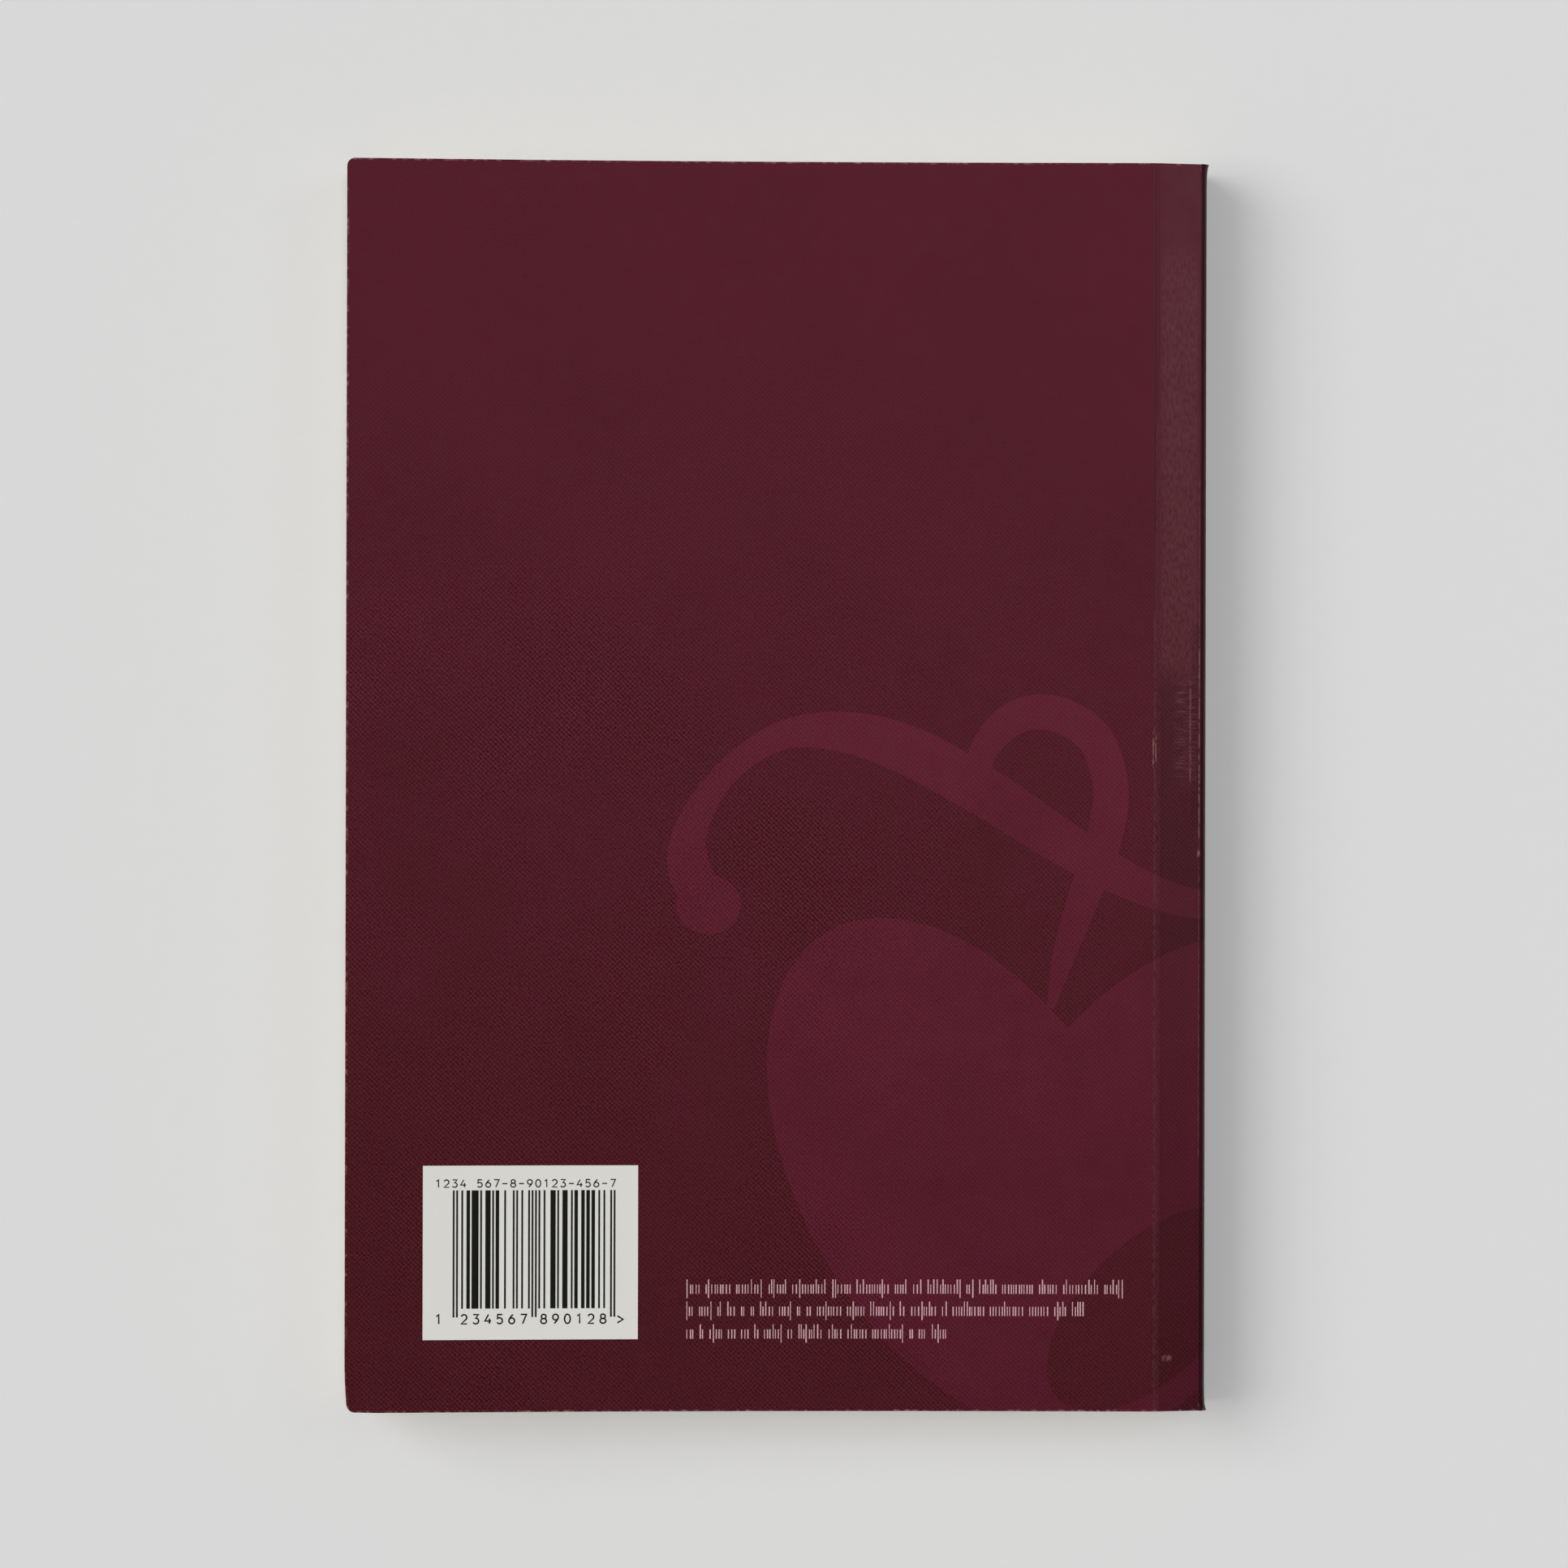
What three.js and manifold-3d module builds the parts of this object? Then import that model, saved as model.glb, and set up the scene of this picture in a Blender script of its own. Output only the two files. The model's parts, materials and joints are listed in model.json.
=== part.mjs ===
// A paperback prayer book lying on its front cover, with its fore-edge to -X, its spine to +X
// and its head to +Y. Millimetres, +Z up. The origin is the middle of the book's footprint,
// on the surface that it lies on.
import * as THREE from 'three';
import { mergeVertices } from 'three/addons/utils/BufferGeometryUtils.js';
import Module from 'manifold-3d';

// Trimmed size of the book, and where the covers are scored beside the spine.
const WIDTH = 139.7;
const HEIGHT = 203.2;
const SCORE_INSET = 8.35;

// Card of the cover, paper of the leaves, and the space between loose layers.
const CARD = 0.35;
const LEAF = 0.105;
const GAP = 0.05;

// The leaves are folded in eight sections of sixteen. Some of them are loose leaves of their own
// here: one next to each cover, and three where the book falls open.
const SECTION_COUNT = 8;
const LEAVES_IN_SECTION = [15, 16, 16, 15, 14, 16, 16, 15];
const MIDDLE_LEAVES = 3;
const OPEN_AFTER = 4;

// Spine: the cover slopes away from each score, then rolls round onto the flat of the spine.
const SLOPE = THREE.MathUtils.degToRad(12);
const ROLL = 3;
const GLUE = 0.45;
const SIDE_GLUE = 0.12;
const SCORE_GAP = 0.1;

// Notches in the folds, which the glue fills.
const NOTCH_COUNT = 9;
const NOTCH_LENGTH = 3.4;
const NOTCH_DEPTH = 2;
const PEG_CLEARANCE = 0.15;

// The back cover curls up towards the fore-edge, and the leaf under it lifts a little with it.
const CURL_START = 36;
const COVER_RISE = 5;
const LEAF_RISE = 1.8;
const CURL_STEPS = 14;

// Cover corners are slightly rounded by handling.
const CORNER_RADIUS = 1.3;

const LEFT = -WIDTH / 2;
const RIGHT = WIDTH / 2;
const SCORE_X = RIGHT - SCORE_INSET;
const LEAF_END = RIGHT - CARD - GLUE - 0.4;
const ARC_STEPS = 6;
const FLAT_ENOUGH = 0.005;

const wasm = await Module();
wasm.setup();
const { Manifold, Mesh } = wasm;

const materials = {
  cover: { color: 0x561f2b, roughness: 0.42, metalness: 0 },
  paper: { color: 0xe9e2cf, roughness: 0.85, metalness: 0 },
  glue: { color: 0xd9cfae, roughness: 0.4, metalness: 0 },
};

const book = new THREE.Group();

function addPiece(name, geometry, material) {
  geometry.computeVertexNormals();
  const mesh = new THREE.Mesh(geometry, new THREE.MeshStandardMaterial(materials[material]));
  mesh.name = name;
  book.add(mesh);
}

// Joining and cutting.

function toManifold(geometry) {
  const bare = geometry.clone();
  bare.deleteAttribute('normal');
  bare.deleteAttribute('uv');
  const merged = mergeVertices(bare, 1e-5);
  return new Manifold(new Mesh({
    numProp: 3,
    vertProperties: new Float32Array(merged.attributes.position.array),
    triVerts: new Uint32Array(merged.index.array),
  }));
}

function toGeometry(solid) {
  const mesh = solid.getMesh();
  const geometry = new THREE.BufferGeometry();
  geometry.setAttribute('position', new THREE.BufferAttribute(mesh.vertProperties, 3));
  geometry.setIndex(new THREE.BufferAttribute(mesh.triVerts, 1));
  return geometry.toNonIndexed();
}

// Shapes are drawn looking along +Y, as [x, z] points, and run the height of the book.

function alongHeight(points, length = HEIGHT) {
  const shape = new THREE.Shape(points.map(([x, z]) => new THREE.Vector2(x, z)));
  const geometry = new THREE.ExtrudeGeometry(shape, { depth: length, bevelEnabled: false });
  geometry.rotateX(Math.PI / 2);
  geometry.translate(0, length / 2, 0);
  return geometry;
}

function slab(left, right, low, high) {
  return [[left, low], [right, low], [right, high], [left, high]];
}

// Heights of the layers, from the table up.

const layers = {};
let level = 0;
function addLayer(name, thickness) {
  layers[name] = { low: level, high: level + thickness };
  level += thickness + GAP;
}
addLayer('front_cover', CARD);
addLayer('front_flyleaf', LEAF);
for (let section = 1; section <= SECTION_COUNT; section++) {
  addLayer(`section_${section}`, LEAVES_IN_SECTION[section - 1] * LEAF);
  if (section === OPEN_AFTER) {
    for (let leaf = 1; leaf <= MIDDLE_LEAVES; leaf++) addLayer(`middle_leaf_${leaf}`, LEAF);
  }
}
addLayer('back_flyleaf', LEAF);
addLayer('back_cover', CARD);

const TOP = layers.back_cover.high;
const MIDDLE = TOP / 2;
const upsideDown = (points) => points.map(([x, z]) => [x, TOP - z]);

// The line down from the back score, and the arc that meets it and the flat of the spine.

const rollCentreX = RIGHT - ROLL;
const slopeRun = rollCentreX + ROLL * Math.sin(SLOPE) - SCORE_X;
const rollCentreZ = TOP - slopeRun * Math.tan(SLOPE) - ROLL * Math.cos(SLOPE);

function slopePoint(x, depth) {
  return [x, TOP - (x - SCORE_X) * Math.tan(SLOPE) - depth / Math.cos(SLOPE)];
}

// Where the spine is at a height, some depth below its outer surface.
function spinePoint(z, depth) {
  const above = Math.abs(z - MIDDLE) - (rollCentreZ - MIDDLE);
  const reach = ROLL - depth;
  const x = above > 0 ? rollCentreX + Math.sqrt(Math.max(reach * reach - above * above, 0)) : RIGHT - depth;
  return [x, z];
}

// Points along the spine between two heights, leaving out those that a straight line passes through.
function spineCurve(low, high, depth) {
  const points = [spinePoint(low, depth)];
  for (let step = 1; step <= ARC_STEPS; step++) {
    const point = spinePoint(low + (high - low) * step / ARC_STEPS, depth);
    const turns = Math.abs(point[0] - points.at(-1)[0]) > FLAT_ENOUGH;
    if (turns || step === ARC_STEPS) points.push(point);
  }
  return points;
}

// The height between two neighbouring sections, which is where the spine flexes.
function flexHeight(section) {
  return layers[`section_${section}`].high + GAP / 2;
}

// Covers.

function roundedOutline() {
  const bottom = -HEIGHT / 2;
  const top = HEIGHT / 2;
  const shape = new THREE.Shape();
  shape.moveTo(RIGHT, bottom);
  shape.lineTo(RIGHT, top);
  shape.lineTo(LEFT + CORNER_RADIUS, top);
  shape.absarc(LEFT + CORNER_RADIUS, top - CORNER_RADIUS, CORNER_RADIUS, Math.PI / 2, Math.PI);
  shape.absarc(LEFT + CORNER_RADIUS, bottom + CORNER_RADIUS, CORNER_RADIUS, Math.PI, 1.5 * Math.PI);
  const geometry = new THREE.ExtrudeGeometry(shape, {
    depth: 3 * TOP, bevelEnabled: false, curveSegments: 8,
  });
  geometry.translate(0, 0, -TOP);
  return toManifold(geometry);
}

function cutToOutline(points) {
  return toGeometry(toManifold(alongHeight(points, HEIGHT + 4)).intersect(roundedOutline()));
}

function curledSheet(right, low, high, rise) {
  const lower = [[right, low]];
  const upper = [[right, high]];
  for (let step = 0; step <= CURL_STEPS; step++) {
    const along = step / CURL_STEPS;
    const x = CURL_START + (LEFT - CURL_START) * along;
    lower.push([x, low + rise * along * along]);
    upper.push([x, high + rise * along * along]);
  }
  return [...lower, ...upper.reverse()];
}

function addCovers() {
  const right = SCORE_X - SCORE_GAP;
  const { front_cover: front, back_cover: back } = layers;
  addPiece('front_cover', cutToOutline(slab(LEFT, right, front.low, front.high)), 'cover');
  addPiece('back_cover', cutToOutline(curledSheet(right, back.low, back.high, COVER_RISE)), 'cover');
}

// The part of the cover between a score and the last flex line of the spine, glued to the end sections.
function hingeStrip() {
  const left = SCORE_X + SCORE_GAP;
  const low = flexHeight(SECTION_COUNT - 1) + GAP / 2;
  const side = (depth) => {
    const reach = ROLL - depth;
    const points = [slopePoint(left, depth)];
    const first = Math.PI / 2 - SLOPE;
    const last = Math.asin((low - rollCentreZ) / reach);
    for (let step = 0; step <= ARC_STEPS; step++) {
      const angle = first + (last - first) * step / ARC_STEPS;
      points.push([rollCentreX + reach * Math.cos(angle), rollCentreZ + reach * Math.sin(angle)]);
    }
    return points;
  };
  return [...side(0), ...side(CARD).reverse()];
}

function addHingeStrips() {
  addPiece('back_hinge_strip', alongHeight(hingeStrip()), 'cover');
  addPiece('front_hinge_strip', alongHeight(upsideDown(hingeStrip())), 'cover');
}

// The card of the spine, one strip to a section, so that it can flex between them.
function addSpineStrips() {
  for (let section = 2; section < SECTION_COUNT; section++) {
    const low = flexHeight(section - 1) + GAP / 2;
    const high = flexHeight(section) - GAP / 2;
    const outline = [...spineCurve(low, high, 0), ...spineCurve(low, high, CARD).reverse()];
    addPiece(`spine_strip_${section}`, alongHeight(outline), 'cover');
  }
}

// Sections of folded leaves. The end ones are pressed down under the sloping strip of cover.

const SLOPE_CLEARANCE = CARD + SIDE_GLUE + 2 * GAP;

function sectionEnd(section) {
  const { low, high } = layers[`section_${section}`];
  const outer = Math.max(Math.abs(low - MIDDLE), Math.abs(high - MIDDLE));
  const inner = Math.min(Math.abs(low - MIDDLE), Math.abs(high - MIDDLE));
  const isEnd = section === 1 || section === SECTION_COUNT;
  return spinePoint(MIDDLE + (isEnd ? inner : outer), CARD + GLUE + GAP)[0];
}

function sectionOutline(section) {
  const { low, high } = layers[`section_${section}`];
  const end = sectionEnd(section);
  if (section === 1) return upsideDown(endSection(TOP - high, TOP - low, end));
  if (section === SECTION_COUNT) return endSection(low, high, end);
  return slab(LEFT, end, low, high);
}

function endSection(low, high, end) {
  const top = slopePoint(end, SLOPE_CLEARANCE)[1];
  const bendX = SCORE_X + (TOP - SLOPE_CLEARANCE / Math.cos(SLOPE) - high) / Math.tan(SLOPE);
  return [[LEFT, low], [end, low], [end, top], [bendX, high], [LEFT, high]];
}

function notchY(notch) {
  return (notch - (NOTCH_COUNT - 1) / 2) * HEIGHT / NOTCH_COUNT;
}

// Boxes along a fold, from a given X to the right, grown on every other side by a clearance.
function notchBoxes(left, right, low, high, clearance) {
  const boxes = [];
  for (let notch = 0; notch < NOTCH_COUNT; notch++) {
    const geometry = alongHeight(slab(left, right, low, high), NOTCH_LENGTH + 2 * clearance);
    geometry.translate(0, notchY(notch), 0);
    boxes.push(toManifold(geometry));
  }
  return Manifold.union(boxes);
}

function addSections() {
  for (let section = 1; section <= SECTION_COUNT; section++) {
    const { low, high } = layers[`section_${section}`];
    const end = sectionEnd(section);
    const block = toManifold(alongHeight(sectionOutline(section)));
    const notches = notchBoxes(end - NOTCH_DEPTH, end + 1, low - 1, high + 1, PEG_CLEARANCE);
    addPiece(`section_${section}`, toGeometry(block.subtract(notches)), 'paper');
  }
}

// Glue fills the space between the folds and the spine card, and reaches into the notches.
function addSpineGlue() {
  for (let section = 1; section <= SECTION_COUNT; section++) {
    const { low, high } = layers[`section_${section}`];
    const end = sectionEnd(section) + GAP;
    const isUpper = section > SECTION_COUNT / 2;
    const mirrored = (z) => (isUpper ? z : TOP - z);
    const bottom = Math.min(mirrored(low), mirrored(high));
    const isEnd = section === 1 || section === SECTION_COUNT;
    const top = isEnd ? slopePoint(end, SLOPE_CLEARANCE)[1] : Math.max(mirrored(low), mirrored(high));
    const outline = [[end, top], [end, bottom], ...spineCurve(bottom, top, CARD + GAP)];
    const layer = toManifold(alongHeight(isUpper ? outline : upsideDown(outline)));
    const inner = [bottom + GAP, top - 2 * GAP].map(mirrored).sort((a, b) => a - b);
    const pegs = notchBoxes(end - NOTCH_DEPTH + PEG_CLEARANCE, end + 0.1, ...inner, 0);
    addPiece(`spine_glue_${section}`, toGeometry(layer.add(pegs)), 'glue');
  }
}

// A narrow line of glue under each sloping strip holds it to the end section.
function sideGlue() {
  const left = SCORE_X + 3 * SCORE_GAP;
  const right = sectionEnd(SECTION_COUNT) - 0.3;
  return [
    slopePoint(left, CARD + GAP), slopePoint(right, CARD + GAP),
    slopePoint(right, CARD + GAP + SIDE_GLUE), slopePoint(left, CARD + GAP + SIDE_GLUE),
  ];
}

function addSideGlue() {
  addPiece('back_side_glue', alongHeight(sideGlue()), 'glue');
  addPiece('front_side_glue', alongHeight(upsideDown(sideGlue())), 'glue');
}

// Loose leaves: one inside each cover, which ends at the score, and those where the book opens.
function addLeaves() {
  const { front_flyleaf: front, back_flyleaf: back } = layers;
  const right = SCORE_X - SCORE_GAP;
  addPiece('front_flyleaf', alongHeight(slab(LEFT, right, front.low, front.high)), 'paper');
  addPiece('back_flyleaf', alongHeight(curledSheet(right, back.low, back.high, LEAF_RISE)), 'paper');
  for (let leaf = 1; leaf <= MIDDLE_LEAVES; leaf++) {
    const { low, high } = layers[`middle_leaf_${leaf}`];
    addPiece(`middle_leaf_${leaf}`, alongHeight(slab(LEFT, LEAF_END, low, high)), 'paper');
  }
}

addCovers();
addHingeStrips();
addSpineStrips();
addSections();
addSpineGlue();
addSideGlue();
addLeaves();

export default book;
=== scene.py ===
# The finished look of a paperback prayer book that lies face down, spine to the right.
# Metres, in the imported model's frame: +X to the spine, +Y to the head, +Z up.
import json
import math
import random

import bpy
from mathutils import Matrix, Vector
from mathutils.geometry import delaunay_2d_cdt


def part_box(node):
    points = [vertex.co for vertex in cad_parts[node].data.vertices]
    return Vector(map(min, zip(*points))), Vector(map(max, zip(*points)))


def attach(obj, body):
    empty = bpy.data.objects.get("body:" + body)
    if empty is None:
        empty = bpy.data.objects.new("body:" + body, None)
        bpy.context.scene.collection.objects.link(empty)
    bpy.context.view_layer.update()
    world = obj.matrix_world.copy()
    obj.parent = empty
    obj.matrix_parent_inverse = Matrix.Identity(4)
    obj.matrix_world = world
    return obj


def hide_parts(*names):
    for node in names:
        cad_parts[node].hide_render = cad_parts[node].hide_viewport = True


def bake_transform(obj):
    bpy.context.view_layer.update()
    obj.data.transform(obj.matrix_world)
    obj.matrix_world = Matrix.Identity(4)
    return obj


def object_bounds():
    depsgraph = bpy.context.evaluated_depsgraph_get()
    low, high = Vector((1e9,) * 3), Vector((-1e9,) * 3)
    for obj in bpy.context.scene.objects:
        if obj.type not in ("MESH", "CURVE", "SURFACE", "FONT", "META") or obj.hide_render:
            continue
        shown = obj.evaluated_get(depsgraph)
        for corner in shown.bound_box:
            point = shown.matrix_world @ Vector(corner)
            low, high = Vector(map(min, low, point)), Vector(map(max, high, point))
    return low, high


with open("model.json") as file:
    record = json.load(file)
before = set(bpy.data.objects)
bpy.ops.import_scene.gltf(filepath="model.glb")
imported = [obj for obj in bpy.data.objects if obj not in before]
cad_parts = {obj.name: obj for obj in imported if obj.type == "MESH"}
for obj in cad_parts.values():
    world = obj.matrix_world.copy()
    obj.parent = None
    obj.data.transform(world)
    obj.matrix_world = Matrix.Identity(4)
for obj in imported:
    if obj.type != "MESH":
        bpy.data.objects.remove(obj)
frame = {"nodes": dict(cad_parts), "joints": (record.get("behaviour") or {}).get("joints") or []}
CAD_LOW, CAD_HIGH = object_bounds()
MM = 0.001

# ---------------------------------------------------------------- sizes taken from the frame

JOINTS = {j["name"]: j for j in frame["joints"]}


def pivot(name):
    return Vector(JOINTS[name]["pos_m"])


FORE_EDGE, SPINE = CAD_LOW.x, CAD_HIGH.x
TAIL, HEAD = CAD_LOW.y, CAD_HIGH.y
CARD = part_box("front_cover")[1].z
SCORE = pivot("back_cover_hinge").x
PIVOT_ABOVE_CARD = 0.05 * MM
TOP = pivot("back_cover_hinge").z - PIVOT_ABOVE_CARD
COVER_RISE = CAD_HIGH.z - TOP
FLEX_NAMES = ["spine_flex_1", "spine_flex_2", "spine_flex_3", "open_middle",
              "spine_flex_5", "spine_flex_6", "spine_flex_7"]
FLEX_HEIGHTS = [pivot(name).z for name in FLEX_NAMES]
SECTIONS = 8

# Shape of the cover away from the scores: the frame's, with a tighter turn at the spine.
SLOPE = math.radians(12)
ROLL = 1.2 * MM
CURL_START = 36 * MM
CORNER_RADIUS = 1.3 * MM

# ---------------------------------------------------------------- node helpers


def add_node(tree, kind, inputs=None, **settings):
    """A node with its settings, and its inputs linked or set."""
    node = tree.nodes.new(kind)
    for name, value in settings.items():
        setattr(node, name, value)
    for key, value in (inputs or {}).items():
        socket = node.inputs[key]
        if isinstance(value, bpy.types.NodeSocket):
            tree.links.new(value, socket)
        else:
            socket.default_value = value
    return node


def maths(tree, operation, a, b=0.0, c=0.0, clamp=False):
    node = add_node(tree, "ShaderNodeMath", {0: a, 1: b, 2: c}, operation=operation, use_clamp=clamp)
    return node.outputs[0]


def vector(tree, x=0.0, y=0.0, z=0.0):
    return add_node(tree, "ShaderNodeCombineXYZ", {0: x, 1: y, 2: z}).outputs[0]


def band(tree, value, low, high, soft):
    """1 where value lies between low and high, fading out over soft on both sides."""
    rise = add_node(tree, "ShaderNodeMapRange", {0: value, 1: low - soft, 2: low},
                    interpolation_type="SMOOTHSTEP")
    fall = add_node(tree, "ShaderNodeMapRange", {0: value, 1: high, 2: high + soft, 3: 1.0, 4: 0.0},
                    interpolation_type="SMOOTHSTEP")
    return maths(tree, "MULTIPLY", rise.outputs[0], fall.outputs[0])


def ramp(tree, value, low, high, start=0.0, end=1.0):
    return add_node(tree, "ShaderNodeMapRange", {0: value, 1: low, 2: high, 3: start, 4: end}).outputs[0]


def scaled(tree, place, x, y, z):
    return add_node(tree, "ShaderNodeMapping", {"Vector": place, "Scale": (x, y, z)}).outputs[0]


def grain(tree, place, scale=1.0, detail=2.0, roughness=0.5):
    inputs = {"Vector": place, "Scale": scale, "Detail": detail, "Roughness": roughness}
    return add_node(tree, "ShaderNodeTexNoise", inputs).outputs[0]


def blend_colour(tree, amount, first, second):
    node = add_node(tree, "ShaderNodeMix", {0: amount, 6: first, 7: second}, data_type="RGBA")
    return node.outputs[2]


def linear(red, green, blue):
    """Linear colour from the 0 to 255 values that a screen shows."""
    def one(value):
        value /= 255
        return value / 12.92 if value <= 0.04045 else ((value + 0.055) / 1.055) ** 2.4
    return (one(red), one(green), one(blue), 1)


def new_material(name):
    material = bpy.data.materials.new(name)
    material.use_nodes = True
    tree = material.node_tree
    tree.nodes.clear()
    shader = add_node(tree, "ShaderNodeBsdfPrincipled")
    output = add_node(tree, "ShaderNodeOutputMaterial")
    tree.links.new(shader.outputs[0], output.inputs[0])
    return material, tree, shader


def bump(tree, height, strength, distance):
    node = add_node(tree, "ShaderNodeBump", {"Height": height, "Strength": strength, "Distance": distance})
    return node.outputs[0]


def flat_place(tree):
    """Where a point lies on the sheet when it is laid flat: along, up and through the card."""
    place = add_node(tree, "ShaderNodeAttribute", attribute_name="flat").outputs["Vector"]
    split = add_node(tree, "ShaderNodeSeparateXYZ", {0: place})
    return place, split.outputs[0], split.outputs[1]


# ---------------------------------------------------------------- materials

# Each print runs from a lighter tone at the head of the cover to a darker one at its tail: painted sheen,
# lighter where the gloss would catch more light.
BURGUNDY_HEAD, BURGUNDY_TAIL = linear(87, 25, 40), linear(73, 18, 27)
CRIMSON_HEAD, CRIMSON_TAIL = linear(105, 32, 51), linear(83, 19, 37)
WHITE_HEAD, WHITE_TAIL = linear(226, 225, 220), linear(224, 223, 218)
SCUFF_AND_SHEEN_TINT = linear(158, 112, 112)
SHEET = (-102, 102)
SPINE_FACE = (7.6, 20.1)

# Marks on the print, in millimetres: along from the score, up the sheet, how soft, how strong.
# Rubbed lines that pale the print toward the scuff colour; one band among them is painted sheen.
RUBBED_AND_SHEEN_LINES = [
    ((-0.40, -0.30), (4.0, 8.5), 0.12, 0.62),
    ((0.02, 0.12), (4.4, 8.0), 0.10, 0.5),
    ((-0.25, -0.05), (-102.0, 28.0), 0.12, 0.10),
    ((0.05, 0.70), (-102.0, 60.0), 0.25, 0.035),
    # Painted sheen: a pale haze over the upper hinge strip, where its gloss would catch the light.
    ((1.20, 6.60), (21.0, 84.0), 0.80, 0.08),
    ((5.80, 5.95), (1.5, 17.0), 0.16, 0.26),
    ((7.34, 7.44), (-8.0, 23.0), 0.08, 0.55),
    ((7.34, 7.44), (-60.0, 50.0), 0.08, 0.16),
    ((7.10, 7.50), (-10.9, -10.7), 0.10, 0.7),
    ((1.30, 2.90), (-93.0, -92.9), 0.08, 0.4),
]
# Painted shade that darkens the ink: in the score's groove, over the lower hinge strip where no sheen falls,
# in a band beside the crease near the spine, and over the spine face that turns away from the light.
PAINTED_SHADE_LINES = [
    ((-0.22, -0.04), (42.0, 102.0), 0.14, 0.34),
    ((-0.22, -0.04), SHEET, 0.14, 0.12),
    ((0.3, 5.4), (-70.0, 16.0), 0.8, 0.18),
    ((0.3, 7.3), (-102.0, 4.0), 0.6, 0.15),
    ((6.15, 7.15), (-6.0, 26.0), 0.18, 0.30),
    (SPINE_FACE, SHEET, 0.2, 0.6),
]


def halftone(tree, along, up):
    """The printed screen: rows of fine dots at 45 degrees."""
    pitch = 0.56 * MM
    turn = 2 * math.pi / (pitch * math.sqrt(2))
    first = maths(tree, "SINE", maths(tree, "MULTIPLY", maths(tree, "ADD", along, up), turn))
    second = maths(tree, "SINE", maths(tree, "MULTIPLY", maths(tree, "SUBTRACT", along, up), turn))
    return maths(tree, "ADD", first, maths(tree, "MULTIPLY", second, 0.6))


def marks(tree, along, up, lines):
    """The strongest of some straight marks at a point; each fades out much further up than across."""
    strongest = 0.0
    for (left, right), (low, high), soft, strength in lines:
        across = band(tree, along, SCORE + left * MM, SCORE + right * MM, soft * MM)
        upward = band(tree, up, low * MM, high * MM, 8 * soft * MM)
        mark = maths(tree, "MULTIPLY", maths(tree, "MULTIPLY", across, upward), strength)
        strongest = maths(tree, "MAXIMUM", strongest, mark)
    return strongest


def edge_rub(tree, place, along, up):
    """Patchy rubbing along the sheet's three free edges."""
    head_and_tail = maths(tree, "MAXIMUM", ramp(tree, up, HEAD - 0.4 * MM, HEAD),
                          ramp(tree, up, TAIL + 0.4 * MM, TAIL))
    edges = maths(tree, "MAXIMUM", ramp(tree, along, FORE_EDGE + 0.45 * MM, FORE_EDGE), head_and_tail)
    return maths(tree, "MULTIPLY", edges, ramp(tree, grain(tree, place, 900, 3), 0.5, 0.72))


def thumb_rub(tree, place, along, up):
    """Hair-fine scratches across the hinge strip, where the book is held."""
    hairs = ramp(tree, grain(tree, scaled(tree, place, 420, 6500, 1), 1, 3), 0.5, 0.68)
    held = maths(tree, "MULTIPLY", band(tree, along, SCORE + 4.6 * MM, SCORE + 5.8 * MM, 2.4 * MM),
                 band(tree, up, 4 * MM, 16 * MM, 6 * MM))
    return maths(tree, "MULTIPLY", maths(tree, "MULTIPLY", hairs, held), 0.24)


def rub_and_sheen(tree, place, along, up):
    """How far the print is rubbed toward the scuff colour, from 0 to 1, with one band of painted sheen high
    on the hinge strip.
    """
    broken = ramp(tree, grain(tree, scaled(tree, place, 2500, 900, 1), 1, 2), 0.36, 0.58)
    lines = maths(tree, "MULTIPLY", marks(tree, along, up, RUBBED_AND_SHEEN_LINES), broken)
    rubs = maths(tree, "MAXIMUM", edge_rub(tree, place, along, up), thumb_rub(tree, place, along, up))
    return maths(tree, "MAXIMUM", rubs, lines, clamp=True)


def screen_strength(tree, place, along, down_sheet):
    """The screen shows most in the middle of the sheet and fades to its head and to the spine."""
    patches = ramp(tree, grain(tree, place, 26, 2), 0.35, 0.65, 0.6, 1.2)
    downward = ramp(tree, down_sheet, 0.15, 0.42, 0.15, 1.0)
    across = ramp(tree, along, 5 * MM, 55 * MM, 1.0, 0.45)
    return maths(tree, "MULTIPLY", maths(tree, "MULTIPLY", downward, across), patches)


def ink_sheen_and_shade(tree, place, along, up, head_tone, tail_tone, screen):
    """Ink that runs lighter toward the head as painted sheen, in soft clouds, with the dots of its screen and
    its lines of painted shade.
    """
    down_sheet = ramp(tree, up, HEAD, TAIL)
    clouds = ramp(tree, grain(tree, place, 40, 4, 0.6), 0.3, 0.7, -0.16, 0.16)
    # Lighter toward the head of the cover: painted sheen.
    ink = blend_colour(tree, maths(tree, "ADD", down_sheet, clouds, clamp=True), head_tone, tail_tone)
    speckle = ramp(tree, grain(tree, place, 2600, 1), 0.3, 0.7, -1, 1)
    dots = maths(tree, "ADD", halftone(tree, along, up), speckle)
    dots = maths(tree, "MULTIPLY", dots, screen_strength(tree, place, along, down_sheet))
    # Painted shade: the shade lines darken the ink here.
    dark = maths(tree, "SUBTRACT", 1.0, marks(tree, along, up, PAINTED_SHADE_LINES))
    shade = maths(tree, "MULTIPLY", maths(tree, "MULTIPLY_ADD", dots, screen, 1.0), dark)
    paper = maths(tree, "MULTIPLY", dots, 0.035 * screen)
    inputs = {0: ink, 1: vector(tree, shade, shade, shade), 2: vector(tree, paper, paper, paper)}
    return add_node(tree, "ShaderNodeVectorMath", inputs, operation="MULTIPLY_ADD").outputs[0]


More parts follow.
